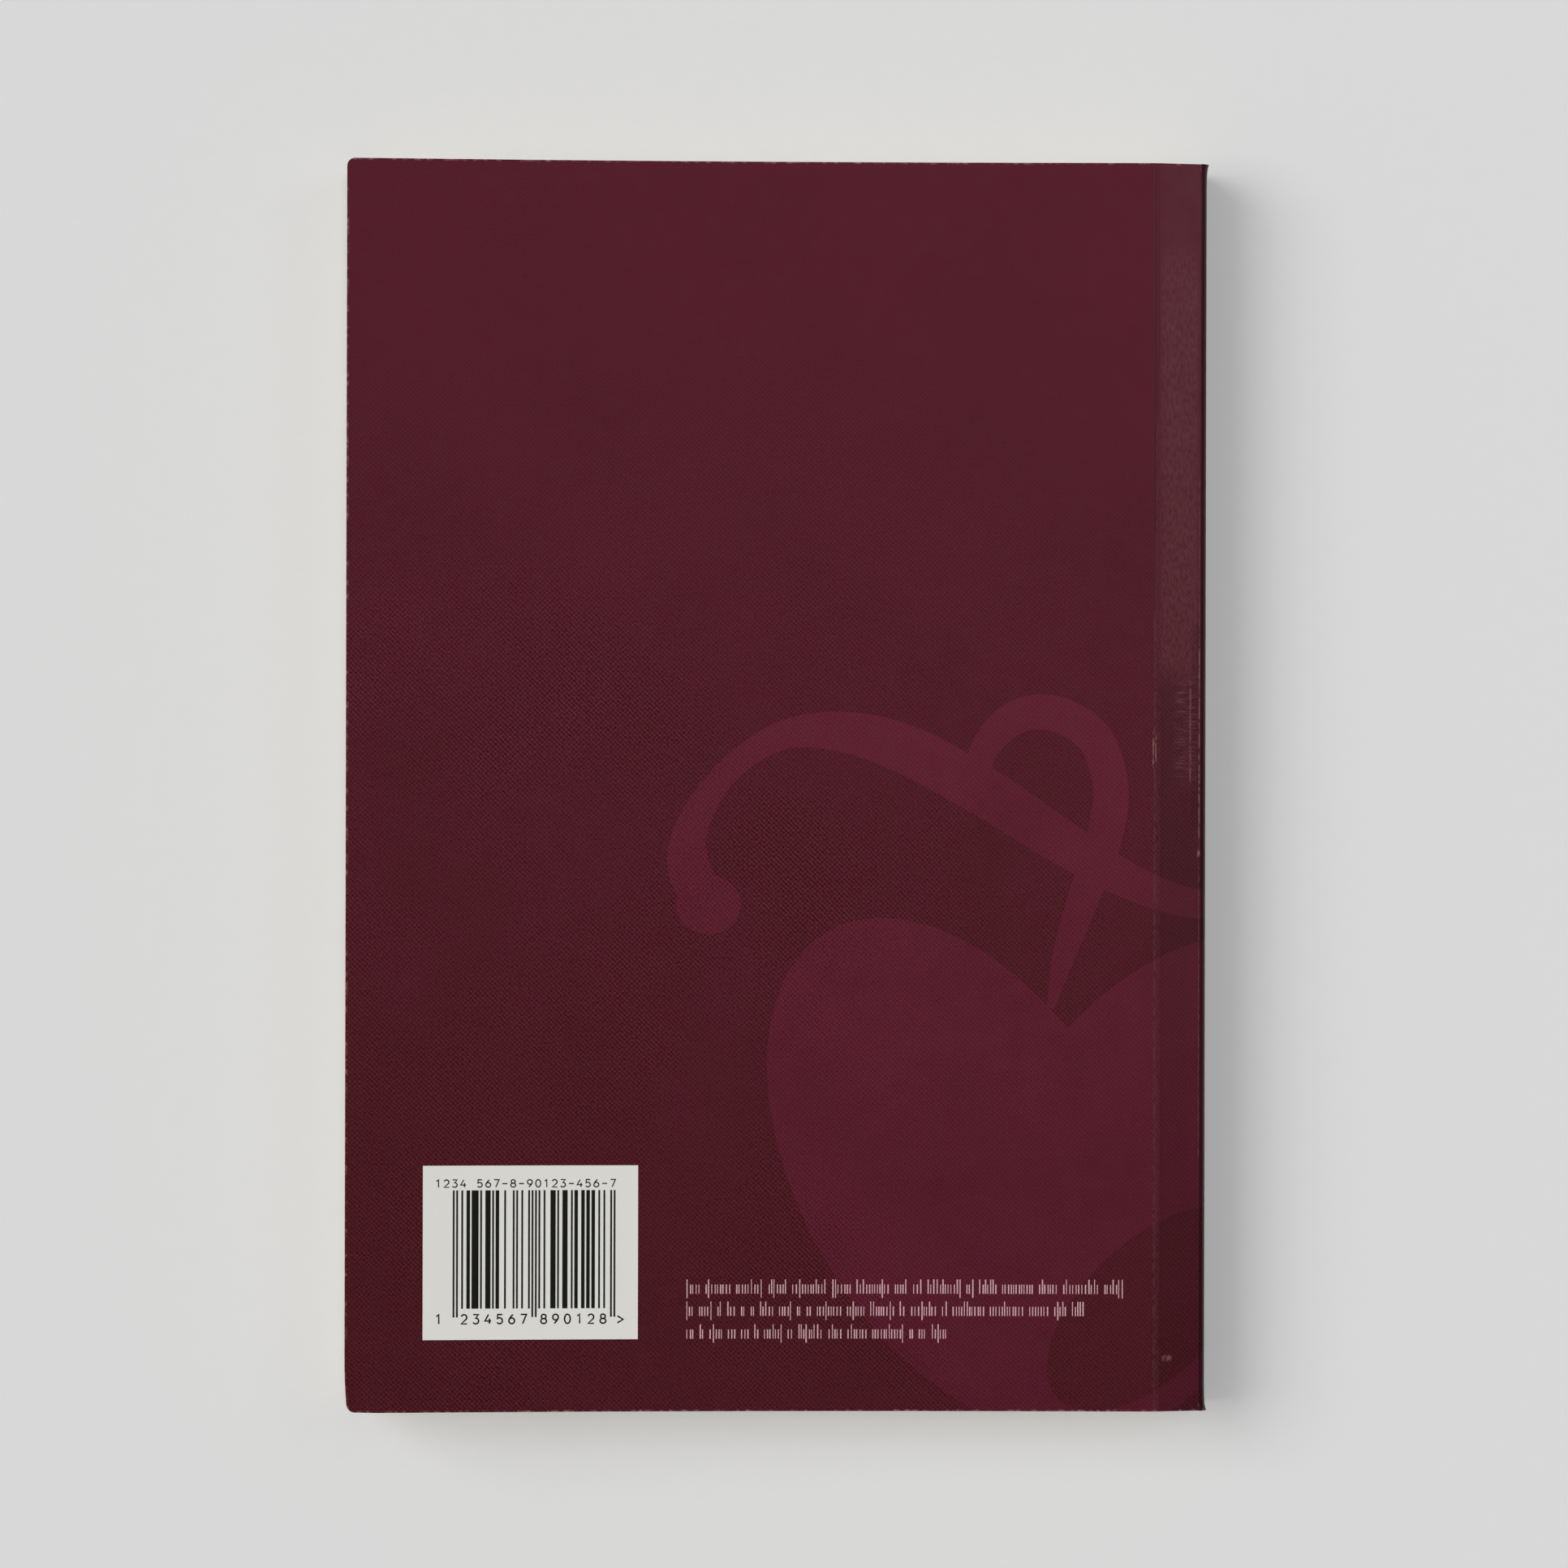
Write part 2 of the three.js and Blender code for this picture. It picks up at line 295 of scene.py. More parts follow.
def laminate(name, head_tone, tail_tone, screen=0.13):
    """Printed card under a satin film."""
    material, tree, shader = new_material(name)
    place, along, up = flat_place(tree)
    rubbed_and_sheen = rub_and_sheen(tree, place, along, up)
    ink = ink_sheen_and_shade(tree, place, along, up, head_tone, tail_tone, screen)
    # Rubbing, and one band of painted sheen, pale the print toward the scuff colour.
    tree.links.new(blend_colour(tree, rubbed_and_sheen, ink, SCUFF_AND_SHEEN_TINT), shader.inputs["Base Color"])
    smooth = ramp(tree, grain(tree, place, 300, 3), 0.3, 0.7, 0.34, 0.42)
    tree.links.new(maths(tree, "MULTIPLY_ADD", rubbed_and_sheen, 0.25, smooth), shader.inputs["Roughness"])
    shader.inputs["Specular IOR Level"].default_value = 0.3
    ripple = maths(tree, "MULTIPLY_ADD", grain(tree, place, 70, 2), 5.0, grain(tree, place, 1500, 2))
    skin = maths(tree, "MULTIPLY_ADD", rubbed_and_sheen, -0.6, ripple)
    tree.links.new(bump(tree, skin, 0.25, 0.02 * MM), shader.inputs["Normal"])
    return material


def bare_card(name, colour, shade, roughness):
    """Unprinted card: the inside of the cover, or its cut edge."""
    material, tree, shader = new_material(name)
    place, _, _ = flat_place(tree)
    fibres = grain(tree, scaled(tree, place, 1, 0.4, 3), 1800, 3, 0.6)
    tint = blend_colour(tree, ramp(tree, fibres, 0.3, 0.7), colour, shade)
    tree.links.new(tint, shader.inputs["Base Color"])
    uneven = ramp(tree, fibres, 0.3, 0.7, roughness - 0.06, roughness + 0.06)
    tree.links.new(uneven, shader.inputs["Roughness"])
    tree.links.new(bump(tree, fibres, 0.3, 0.02 * MM), shader.inputs["Normal"])
    return material


def ink_film(name, colour, shade):
    """Print that lies on the sheet."""
    material, tree, shader = new_material(name)
    place, _, _ = flat_place(tree)
    mottle = ramp(tree, grain(tree, place, 4000, 2), 0.35, 0.65)
    tree.links.new(blend_colour(tree, mottle, colour, shade), shader.inputs["Base Color"])
    tree.links.new(ramp(tree, mottle, 0, 1, 0.38, 0.5), shader.inputs["Roughness"])
    tree.links.new(bump(tree, mottle, 0.1, 0.01 * MM), shader.inputs["Normal"])
    return material


TEXT_INNER, TEXT_OUTER = 52 * MM, -53 * MM
TEXT_HEAD, TEXT_FOOT = 84 * MM, -82 * MM
LINE_PITCH = 5.2 * MM


def line_marks(tree, along, up):
    """Rows of dark marks that stand for lines of print, with ragged ends and word spaces."""
    row = maths(tree, "DIVIDE", up, LINE_PITCH)
    row_number = maths(tree, "FLOOR", row)
    in_row = band(tree, maths(tree, "FRACT", row), 0.34, 0.68, 0.05)
    dice = add_node(tree, "ShaderNodeTexWhiteNoise", {1: row_number}, noise_dimensions="1D")
    chance = dice.outputs[0]
    right_end = ramp(tree, chance, 0, 1, TEXT_INNER, TEXT_INNER - 45 * MM)
    in_text = maths(tree, "MULTIPLY", maths(tree, "GREATER_THAN", along, TEXT_OUTER),
                    maths(tree, "LESS_THAN", along, right_end))
    in_text = maths(tree, "MULTIPLY", in_text, band(tree, up, TEXT_FOOT, TEXT_HEAD, 0.01 * MM))
    in_line = maths(tree, "MULTIPLY", in_row, in_text)
    track = vector(tree, maths(tree, "MULTIPLY", along, 230), maths(tree, "MULTIPLY", row_number, 7.3))
    words = maths(tree, "GREATER_THAN", grain(tree, track, 1, 0), 0.42)
    strokes = ramp(tree, grain(tree, track, 9, 1), 0.42, 0.5)
    print_marks = maths(tree, "MULTIPLY", maths(tree, "MULTIPLY", words, strokes), in_line)
    return print_marks, maths(tree, "LESS_THAN", chance, 0.2)


def page_face():
    material, tree, shader = new_material("printed_page")
    place, along, up = flat_place(tree)
    fibres = grain(tree, place, 1200, 4, 0.6)
    paper = blend_colour(tree, ramp(tree, fibres, 0.3, 0.7), linear(236, 228, 208), linear(228, 219, 197))
    print_marks, is_red = line_marks(tree, along, up)
    ink = blend_colour(tree, is_red, linear(45, 41, 40), linear(150, 40, 38))
    tree.links.new(blend_colour(tree, print_marks, paper, ink), shader.inputs["Base Color"])
    tree.links.new(ramp(tree, fibres, 0.3, 0.7, 0.82, 0.92), shader.inputs["Roughness"])
    tree.links.new(bump(tree, fibres, 0.2, 0.02 * MM), shader.inputs["Normal"])
    return material


def page_edge():
    """Cut edges of the leaves: fine lines, a little dusty, with faint knife marks."""
    material, tree, shader = new_material("trimmed_page_edge")
    place, _, _ = flat_place(tree)
    leaves = grain(tree, scaled(tree, place, 40, 40, 9500), 1, 2)
    knife = grain(tree, scaled(tree, place, 900, 900, 60), 1, 2)
    dust = grain(tree, place, 90, 3)
    tint = blend_colour(tree, ramp(tree, leaves, 0.35, 0.65), linear(233, 226, 208), linear(212, 202, 180))
    tint = blend_colour(tree, ramp(tree, dust, 0.5, 0.8, 0, 0.3), tint, linear(198, 184, 160))
    tree.links.new(tint, shader.inputs["Base Color"])
    tree.links.new(ramp(tree, leaves, 0.3, 0.7, 0.85, 0.95), shader.inputs["Roughness"])
    tree.links.new(bump(tree, maths(tree, "ADD", leaves, knife), 0.4, 0.03 * MM), shader.inputs["Normal"])
    return material


def binding_glue():
    material, tree, shader = new_material("hot_melt_glue")
    place = add_node(tree, "ShaderNodeTexCoord").outputs["Object"]
    lumps = grain(tree, place, 700, 3)
    tint = blend_colour(tree, ramp(tree, lumps, 0.3, 0.7), linear(222, 206, 168), linear(198, 178, 134))
    tree.links.new(tint, shader.inputs["Base Color"])
    tree.links.new(ramp(tree, lumps, 0.3, 0.7, 0.28, 0.45), shader.inputs["Roughness"])
    tree.links.new(bump(tree, lumps, 0.5, 0.1 * MM), shader.inputs["Normal"])
    return material


COVER_MATERIALS = [
    laminate("burgundy_laminate", BURGUNDY_HEAD, BURGUNDY_TAIL),
    laminate("crimson_ornament", CRIMSON_HEAD, CRIMSON_TAIL, screen=0.09),
    laminate("white_panel", WHITE_HEAD, WHITE_TAIL, screen=0.004),
    bare_card("cut_card_edge", linear(196, 182, 176), linear(150, 118, 116), 0.8),
    bare_card("inside_of_cover", linear(232, 229, 221), linear(222, 218, 209), 0.7),
]
PRINT, ORNAMENT, PANEL, CARD_EDGE, CARD_INSIDE = range(5)
PAGE_FACE, PAGE_EDGE = page_face(), page_edge()
GLUE = binding_glue()
BLACK_INK = ink_film("black_ink", linear(12, 11, 10), linear(20, 19, 17))
PINK_INK = ink_film("pale_pink_ink", linear(214, 176, 178), linear(196, 152, 156))

# ---------------------------------------------------------------- the path of the wraparound cover

ROLL_CENTRE_X = SPINE - ROLL
SLOPE_RUN = ROLL_CENTRE_X + ROLL * math.sin(SLOPE) - SCORE
ROLL_CENTRE_Z = TOP - SLOPE_RUN * math.tan(SLOPE) - ROLL * math.cos(SLOPE)
ALONG_ROLL = SCORE + SLOPE_RUN / math.cos(SLOPE)
ALONG_FLAT = ALONG_ROLL + ROLL * (math.pi / 2 - SLOPE)
ALONG_MIDDLE = ALONG_FLAT + ROLL_CENTRE_Z - TOP / 2


def along_at_height(z):
    """How far along the sheet the spine is at a height."""
    mirrored = TOP - z if z < TOP / 2 else z
    if mirrored <= ROLL_CENTRE_Z:
        along = ALONG_FLAT + ROLL_CENTRE_Z - mirrored
    else:
        along = ALONG_FLAT - ROLL * math.asin((mirrored - ROLL_CENTRE_Z) / ROLL)
    return 2 * ALONG_MIDDLE - along if z < TOP / 2 else along


def bend_ease(distance):
    """Rounds off the change of slope at a score."""
    reach = 0.6 * MM
    if abs(distance) >= reach:
        return 0
    return (reach - abs(distance)) ** 2 / (4 * reach)


def score_relief(along):
    """The pressed groove at a score, and the low ridge beside it."""
    distance = (along - SCORE) / MM
    groove = 0.08 * math.exp(-((distance / 0.26) ** 2))
    ridge = 0.05 * math.exp(-(((distance - 0.7) / 0.4) ** 2))
    return (ridge - groove) * MM


def curl(along):
    return COVER_RISE * (max(0, CURL_START - along) / (CURL_START - FORE_EDGE)) ** 2


def half_wrap(along, is_back):
    """Outer surface of the back half of the cover: a point in the XZ plane, and its outward direction."""
    if along <= SCORE:
        rise = curl(along) if is_back else 0
        lean = 2 * rise / max(CURL_START - along, MM)
        point = Vector((along, TOP + rise))
        out = Vector((lean, 1)).normalized()
    elif along <= ALONG_ROLL:
        run = along - SCORE
        point = Vector((SCORE + run * math.cos(SLOPE), TOP - run * math.sin(SLOPE)))
        out = Vector((math.sin(SLOPE), math.cos(SLOPE)))
    elif along <= ALONG_FLAT:
        angle = math.pi / 2 - SLOPE - (along - ALONG_ROLL) / ROLL
        out = Vector((math.cos(angle), math.sin(angle)))
        point = Vector((ROLL_CENTRE_X, ROLL_CENTRE_Z)) + ROLL * out
    else:
        point = Vector((SPINE, ROLL_CENTRE_Z - (along - ALONG_FLAT)))
        out = Vector((1, 0))
    point.y -= bend_ease(along - SCORE) * math.tan(SLOPE)
    return point + out * score_relief(along), out


def corner_bend(along, up):
    """How far the back cover's knocked corner gives way, from 0 to 1 at the very corner."""
    return max(0, 1 - (along - FORE_EDGE) / (7 * MM) - (up - TAIL) / (9 * MM)) ** 2


def end_flare(along, up):
    """The spine card's ends stand a little proud of the head and the tail of the block."""
    if not ALONG_ROLL < along < 2 * ALONG_MIDDLE - ALONG_ROLL:
        return 0
    return 0.35 * MM * math.exp(-min(HEAD - up, up - TAIL) / (0.9 * MM))


def on_cover(along, up, depth=0.0):
    """The point of the sheet at a place on its flat outline, some depth below its printed face."""
    is_back = along <= ALONG_MIDDLE
    point, out = half_wrap(along if is_back else 2 * ALONG_MIDDLE - along, is_back)
    point = point - out * (depth - end_flare(along, up))
    if is_back:
        point += corner_bend(along, up) * Vector((0.3 * MM, -1.4 * MM))
    return Vector((point.x, up, point.y if is_back else TOP - point.y))


# ---------------------------------------------------------------- outlines


def smooth_path(points, steps=8):
    """An open curve through some points, each given as x, y and pen width in millimetres."""
    knots = [Vector(point) * MM for point in points]
    knots = [knots[0], *knots, knots[-1]]
    path = []
    for before, start, end, after in zip(knots, knots[1:], knots[2:], knots[3:]):
        bend = 2 * before - 5 * start + 4 * end - after
        twist = 3 * start - before - 3 * end + after
        for t in (step / steps for step in range(steps)):
            path.append(0.5 * (2 * start + (end - before) * t + bend * t ** 2 + twist * t ** 3))
    return path + [knots[-1]]


def pen_outline(points):
    """The outline of a pen stroke whose width flows along it."""
    path = smooth_path(points)
    right, left = [], []
    for before, knot, after in zip([path[0]] + path, path, path[1:] + [path[-1]]):
        way = (after - before).xy.normalized()
        side = Vector((-way.y, way.x)) * knot.z / 2
        right.append(knot.xy - side)
        left.append(knot.xy + side)
    return right + left[::-1]


def oval(x, y, radius_x, radius_y, start, end, steps=12):
    """Points along part of an oval, from one angle to another in degrees."""
    angles = [math.radians(start + (end - start) * i / steps) for i in range(steps + 1)]
    return [(x + radius_x * math.cos(a), y + radius_y * math.sin(a)) for a in angles]


def tilted_oval(x, y, length, width, tilt):
    """A whole oval, in millimetres, with its long axis turned from level by an angle in degrees."""
    turn = Matrix.Rotation(math.radians(tilt), 2)
    points = oval(0, 0, length / 2, width / 2, 0, 360, 72)[:-1]
    return [(Vector((x, y)) + turn @ Vector(point)) * MM for point in points]


def rectangle(left, right, low, high):
    return [Vector((left, low)), Vector((right, low)), Vector((right, high)), Vector((left, high))]


def inside(point, outline):
    crossings = False
    for i, a in enumerate(outline):
        b = outline[i - 1]
        if (a.y > point.y) != (b.y > point.y):
            if point.x < (b.x - a.x) * (point.y - a.y) / (b.y - a.y) + a.x:
                crossings = not crossings
    return crossings


# A plain floral heart: a leaf of two ovals with a round opening, a curling stem and a loop above it.
STEM = pen_outline([
    (-10.5, -18.5, 5), (-14, -14.5, 7), (-14.2, -7.5, 5.5), (-9, 1.5, 4), (0, 8, 4.5), (10, 9, 6.5),
    (21, 6, 8), (34, -1, 8), (48, -10, 7), (60, -16.5, 5.5), (72, -19, 4.5), (92, -15, 4),
])
STEM_BALL = tilted_oval(-11.2, -19.2, 10.5, 9.5, 0)
LOOP = pen_outline([
    (33, 0, 3.5), (33.5, 6, 4.5), (38.5, 11.2, 5.5), (45, 12, 5.8), (51.5, 8, 5.8),
    (54.2, 0, 5.8), (53, -9, 5.8), (49.5, -19, 5), (46.5, -28, 3.6), (44.5, -36, 1.2),
])
LEAF_LEFT = tilted_oval(31, -63, 91, 54, -60)
LEAF_RIGHT = tilted_oval(61, -66, 91, 54, 60)
LEAF_EYE = tilted_oval(61, -85, 42, 22, 44)
PANEL_OUTLINE = rectangle(-57.3 * MM, -22.5 * MM, -89.85 * MM, -61.6 * MM)
ART = [(ORNAMENT, outline) for outline in (STEM, STEM_BALL, LOOP, LEAF_LEFT, LEAF_RIGHT)]
ART += [(PRINT, LEAF_EYE), (PANEL, PANEL_OUTLINE)]


def printed_slot(point):
    slot = PRINT
    for art_slot, outline in ART:
        if inside(point, outline):
            slot = art_slot
    return slot


def sheet_outline(start, end, free_end):
    """Flat outline of a length of the cover. Its free end, where it has one, has rounded corners."""
    if free_end is None:
        return rectangle(start, end, TAIL, HEAD)
    joined = end if free_end == start else start
    inward = math.copysign(CORNER_RADIUS, joined - free_end)
    turns = [math.radians(15 * step) for step in range(7)]
    gaps = [(1 - math.sin(turn), 1 - math.cos(turn)) for turn in turns]
    tail = [Vector((free_end + inward * a, TAIL + CORNER_RADIUS * b)) for a, b in gaps]
    head = [Vector((free_end + inward * b, HEAD - CORNER_RADIUS * a)) for a, b in gaps]
    return [Vector((joined, HEAD)), Vector((joined, TAIL)), *tail, *head]


# ---------------------------------------------------------------- meshes


def finish_mesh(name, points, faces, slots, materials, flat, sharp=30):
    mesh = bpy.data.meshes.new(name)
    mesh.from_pydata(points, [], faces)
    for material in materials:
        mesh.materials.append(material)
    mesh.polygons.foreach_set("material_index", slots)
    attribute = mesh.attributes.new("flat", "FLOAT_VECTOR", "POINT")
    attribute.data.foreach_set("vector", [value for place in flat for value in place])
    mesh.shade_smooth()
    mesh.set_sharp_from_angle(angle=math.radians(sharp))
    mesh.validate()
    piece = bpy.data.objects.new(name, mesh)
    bpy.context.scene.collection.objects.link(piece)
    return piece


ROWS = 10
NEAR_END = [0.5 * MM, 1.1 * MM, 2 * MM, 3.5 * MM, 5 * MM, 7 * MM, 9 * MM]


def sheet_lines(start, end, columns):
    """Lines across a sheet that let it bend and keep its triangles short."""
    rows = [TAIL + (HEAD - TAIL) * row / ROWS for row in range(1, ROWS)]
    rows += [TAIL + reach for reach in NEAR_END] + [HEAD - reach for reach in NEAR_END]
    lines = [(Vector((start - MM, y)), Vector((end + MM, y))) for y in rows]
    return lines + [(Vector((x, TAIL - MM)), Vector((x, HEAD + MM))) for x in columns]


def printed_sheet(name, start, end, columns, free_end=None):
    """A length of the cover as one closed sheet of card, with its printed shapes as regions."""
    outline = sheet_outline(start, end, free_end)
    points, edges = [], []

    def add_loop(loop):
        first = len(points)
        points.extend(loop)
        edges.extend((first + i, first + (i + 1) % len(loop)) for i in range(len(loop)))

    add_loop(outline)
    for _, art in ART:
        if any(start - 4 * MM < p.x < end + 4 * MM for p in art):
            add_loop(art)
    for line in sheet_lines(start, end, columns):
        points.extend(line)
        edges.append((len(points) - 2, len(points) - 1))
    flat, _, triangles, *_ = delaunay_2d_cdt(points, edges, [], 0, 1e-7)
    kept = [t for t in triangles if inside(sum((flat[i] for i in t), Vector((0, 0))) / 3, outline)]
    return close_sheet(name, flat, kept)


def close_sheet(name, flat, triangles):
    used = sorted({i for t in triangles for i in t})
    number = {old: new for new, old in enumerate(used)}
    count = len(used)
    depths = (0, CARD)
    places = [(flat[i].x, flat[i].y, depth) for depth in depths for i in used]
    points = [on_cover(*place) for place in places]
    faces, slots, borders = [], [], {}
    for t in triangles:
        a, b, c = (number[i] for i in t)
        middle = sum((flat[i] for i in t), Vector((0, 0))) / 3
        faces += [(a, b, c), (c + count, b + count, a + count)]
        slots += [printed_slot(middle), CARD_INSIDE]
        for edge in ((a, b), (b, c), (c, a)):
            borders[edge] = borders.get(edge[::-1]) is None
            if not borders[edge]:
                borders[edge[::-1]] = False
    for (a, b), is_border in borders.items():
        if is_border:
            faces.append((b, a, a + count, b + count))
            slots.append(CARD_EDGE)
    return finish_mesh(name, points, faces, slots, COVER_MATERIALS, places)


# ---------------------------------------------------------------- cover pieces

FOLD = 1.6 * MM
# A gap too fine to see, so that pieces which meet don't touch.
HAIR = 0.004 * MM
# Where the lengths of spine card meet: at each flex, and a little way round the back corner.
CARD_ENDS = [along_at_height(height) for height in FLEX_HEIGHTS]
CARD_ENDS.append(CARD_ENDS[-1] - 1.3 * MM)


def steps_between(start, end, longest):
    count = max(1, math.ceil((end - start) / longest))
    return [start + (end - start) * i / count for i in range(1, count)]


def add_cover(side):
    """One cover board, the fold that joins it to the hinge strip, and the strip round to the spine."""
    is_back = side == "back"
    node, section = f"{side}_cover", "section_8" if is_back else "section_1"

    def length(name, start, end, longest, is_free=False):
        if not is_back:
            start, end = 2 * ALONG_MIDDLE - end, 2 * ALONG_MIDDLE - start
        free_end = (start if is_back else end) if is_free else None
        return printed_sheet(name, start, end, steps_between(start, end, longest), free_end)

    board = length(f"{side}_cover_card", FORE_EDGE, SCORE - FOLD, 5 * MM, is_free=True)
    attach(board, node)
    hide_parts(node)
    fold = length(f"{side}_cover_fold", SCORE - FOLD, SCORE, 0.12 * MM)
    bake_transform(fold)
    strip_end = CARD_ENDS[-1] if is_back else 2 * ALONG_MIDDLE - CARD_ENDS[0]
    strip = length(f"{side}_spine_corner", SCORE, strip_end - HAIR, 0.3 * MM)
    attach(strip, section)
    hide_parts(f"{side}_hinge_strip")


def add_spine_card(number):
    """The card from one flex to the next."""
    end, start = CARD_ENDS[number - 2], CARD_ENDS[number - 1]
    card = printed_sheet(f"spine_card_{number}", start, end, steps_between(start, end, 0.16 * MM))
    hinge, far = on_cover(end, 0), on_cover(start, 0)
    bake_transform(card)
    if number < SECTIONS:
        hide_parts(f"spine_strip_{number}")


# ---------------------------------------------------------------- leaves


LEAF_PITCH, LEAF_THICKNESS = 0.105 * MM, 0.09 * MM


def leaf_tree():
    """Geometry nodes that stack leaves: even spacing, slightly uneven trim, a lift and a pinch."""
    tree = bpy.data.node_groups.new("stack_of_leaves", "GeometryNodeTree")
    tree.interface.new_socket("Leaves", in_out="OUTPUT", socket_type="NodeSocketGeometry")
    defaults = {"Low": 0.0, "Pitch": LEAF_PITCH, "Thickness": LEAF_THICKNESS, "Left": FORE_EDGE,
                "Right": SPINE, "Rise": 0.0, "Pinch": 0.0, "Pinch Base": 0.0}
    tree.interface.new_socket("Count", in_out="INPUT", socket_type="NodeSocketInt").default_value = 1
    for name, value in defaults.items():
        tree.interface.new_socket(name, in_out="INPUT", socket_type="NodeSocketFloat").default_value = value
    tree.interface.new_socket("Seed", in_out="INPUT", socket_type="NodeSocketInt").default_value = 1
    given = add_node(tree, "NodeGroupInput").outputs
    leaves = stacked_leaves(tree, given)
    leaves = shaped_leaves(tree, given, leaves)
    result = add_node(tree, "NodeGroupOutput")
    tree.links.new(leaves, result.inputs[0])
    return tree


def stacked_leaves(tree, given):
    """Flat leaves, one above the other, trimmed a little unevenly."""
    width = maths(tree, "SUBTRACT", given["Right"], given["Left"])
    middle = maths(tree, "MULTIPLY", maths(tree, "ADD", given["Right"], given["Left"]), 0.5)
    first = maths(tree, "ADD", given["Low"], maths(tree, "MULTIPLY", given["Thickness"], 0.5))
    line = add_node(tree, "GeometryNodeMeshLine", {
        "Count": given["Count"],
        "Start Location": vector(tree, middle, 0.0, first),
        "Offset": vector(tree, 0.0, 0.0, given["Pitch"]),
    })
    size = vector(tree, width, HEAD - TAIL - 0.1 * MM, given["Thickness"])
    leaf = add_node(tree, "GeometryNodeMeshCube", {"Size": size, "Vertices X": 24})
    limits = {0: (0.9992, 0.9995, 1.0), 1: (1.0, 1.0, 1.0), "Seed": given["Seed"]}
    trim = add_node(tree, "FunctionNodeRandomValue", limits, data_type="FLOAT_VECTOR")
    stack = add_node(tree, "GeometryNodeInstanceOnPoints", {
        "Points": line.outputs[0], "Instance": leaf.outputs[0], "Scale": trim.outputs[0],
    })
    return add_node(tree, "GeometryNodeRealizeInstances", {0: stack.outputs[0]}).outputs[0]


def shaped_leaves(tree, given, leaves):
    """Leaves with their flat places stored, lifted at the fore-edge, pinched, and given their paper."""
    place = add_node(tree, "GeometryNodeInputPosition").outputs[0]
    stored = add_node(tree, "GeometryNodeStoreNamedAttribute", {0: leaves, "Name": "flat", "Value": place},
                      data_type="FLOAT_VECTOR", domain="POINT").outputs[0]
    split = add_node(tree, "ShaderNodeSeparateXYZ", {0: place})
    x, z = split.outputs[0], split.outputs[2]
    outward = ramp(tree, x, CURL_START, FORE_EDGE)
    count_high = maths(tree, "MULTIPLY", given["Count"], given["Pitch"])
    below_top = maths(tree, "SUBTRACT", maths(tree, "ADD", given["Low"], count_high), z)
    fade = maths(tree, "POWER", 0.5, maths(tree, "DIVIDE", below_top, 0.25 * MM))
    rise = maths(tree, "MULTIPLY", given["Rise"], fade)
    lift = maths(tree, "MULTIPLY", maths(tree, "MULTIPLY", outward, outward), rise)
    past_score = maths(tree, "MAXIMUM", maths(tree, "SUBTRACT", x, SCORE), 0.0)
    toward_spine = maths(tree, "MULTIPLY", past_score, given["Pinch"])
    squeeze = maths(tree, "MULTIPLY", maths(tree, "SUBTRACT", given["Pinch Base"], z), toward_spine)
    offset = vector(tree, 0.0, 0.0, maths(tree, "ADD", lift, squeeze))
    moved = add_node(tree, "GeometryNodeSetPosition", {0: stored, "Offset": offset}).outputs[0]
    normal = add_node(tree, "GeometryNodeInputNormal").outputs[0]
    upward = add_node(tree, "ShaderNodeSeparateXYZ", {0: normal}).outputs[2]
    is_face = maths(tree, "GREATER_THAN", maths(tree, "ABSOLUTE", upward), 0.5)
    edges = add_node(tree, "GeometryNodeSetMaterial", {0: moved, "Material": PAGE_EDGE}).outputs[0]
    faces = {0: edges, "Selection": is_face, "Material": PAGE_FACE}
    return add_node(tree, "GeometryNodeSetMaterial", faces).outputs[0]


LEAF_TREE = leaf_tree()


def leaf_stack(name, count, low, left, right, seed, **shape):
    """Leaves as a plain mesh, made by the node tree with these sizes."""
    carrier = bpy.data.objects.new(name + "_tree", bpy.data.meshes.new(name))
    bpy.context.scene.collection.objects.link(carrier)
    modifier = carrier.modifiers.new("leaves", "NODES")
    modifier.node_group = LEAF_TREE
    values = {"Count": count, "Low": low, "Left": left, "Right": right, "Seed": seed, **shape}
    for item in LEAF_TREE.interface.items_tree:
        if item.in_out == "INPUT" and item.name in values:
            modifier[item.identifier] = values[item.name]
    evaluated = carrier.evaluated_get(bpy.context.evaluated_depsgraph_get())
    mesh = bpy.data.meshes.new_from_object(evaluated)
    bpy.data.objects.remove(carrier)
    piece = bpy.data.objects.new(name, mesh)
    bpy.context.scene.collection.objects.link(piece)
    return piece


def section_halves(number):
    """Leaf counts and lowest heights of a section's lower and upper half."""
    low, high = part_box(f"section_{number}")
    count = round((high.z - low.z) / LEAF_PITCH)
    lower = count // 2
    return (lower, low.z), (count - lower, low.z + lower * LEAF_PITCH)


def add_half_section(number, half, name):
    """Half of a section. The end sections are pinched under the sloping hinge strips."""
    count, low = section_halves(number)[half]
    box_low, box_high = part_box(f"section_{number}")
    shape = {}
    if number in (1, SECTIONS):
        thickness = box_high.z - box_low.z
        shape["Pinch"] = math.tan(SLOPE) / thickness
        shape["Pinch Base"] = box_low.z if number == SECTIONS else box_high.z
    if number == SECTIONS and half == 1:
        shape["Rise"] = 1.2 * MM
    return leaf_stack(name, count, low, box_low.x, box_high.x, 10 * number + half, **shape)


def join(pieces, name):
    with bpy.context.temp_override(active_object=pieces[0], selected_editable_objects=pieces):
        bpy.ops.object.join()
    pieces[0].name = name
    return pieces[0]


